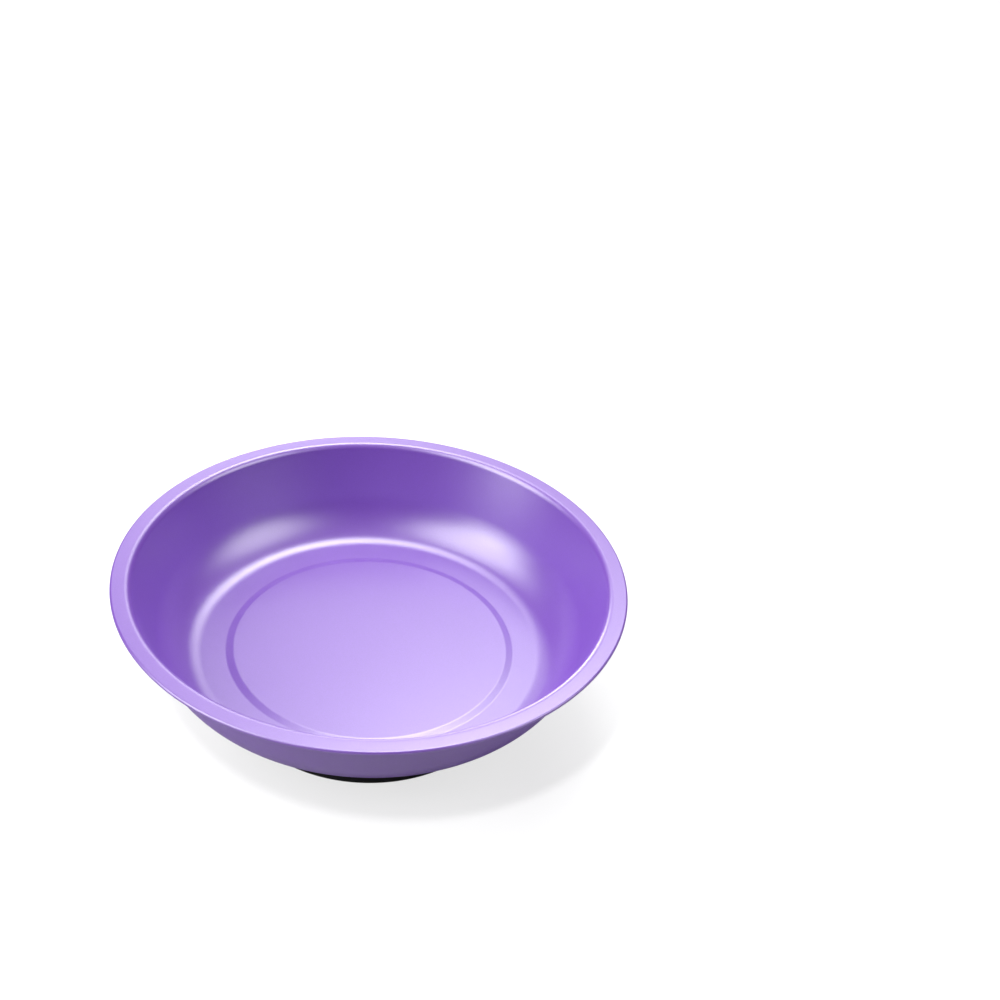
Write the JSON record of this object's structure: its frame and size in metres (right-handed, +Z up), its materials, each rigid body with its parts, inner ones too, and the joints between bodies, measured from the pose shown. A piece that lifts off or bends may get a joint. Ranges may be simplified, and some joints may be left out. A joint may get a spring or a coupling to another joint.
{
  "type": "magnetic parts tray",
  "caption": "Round pressed-steel dish with a hemmed rim and a raised floor disc, clamped to a ring magnet in a grooved rubber boot; holds small steel parts.",
  "frame": {"origin": "centre of the boot's face, on the surface that the tray stands on", "axes": "+Z up along the tray's axis of revolution, out of the open dish"},
  "size_m": [0.15, 0.15, 0.045],
  "materials": {
    "purple_lacquer": "satin",
    "black_rubber": "satin",
    "zinc_plated_steel": "satin",
    "ferrite": "matte",
    "foam_rubber": "matte"
  },
  "bodies": {
    "root": {"dish": "purple_lacquer", "weld_stud": "zinc_plated_steel", "seat_pad": "foam_rubber", "ring_magnet": "ferrite", "clamp_cup": "zinc_plated_steel", "washer": "zinc_plated_steel", "lock_nut": "zinc_plated_steel", "rubber_boot": "black_rubber"}
  },
  "joints": []
}
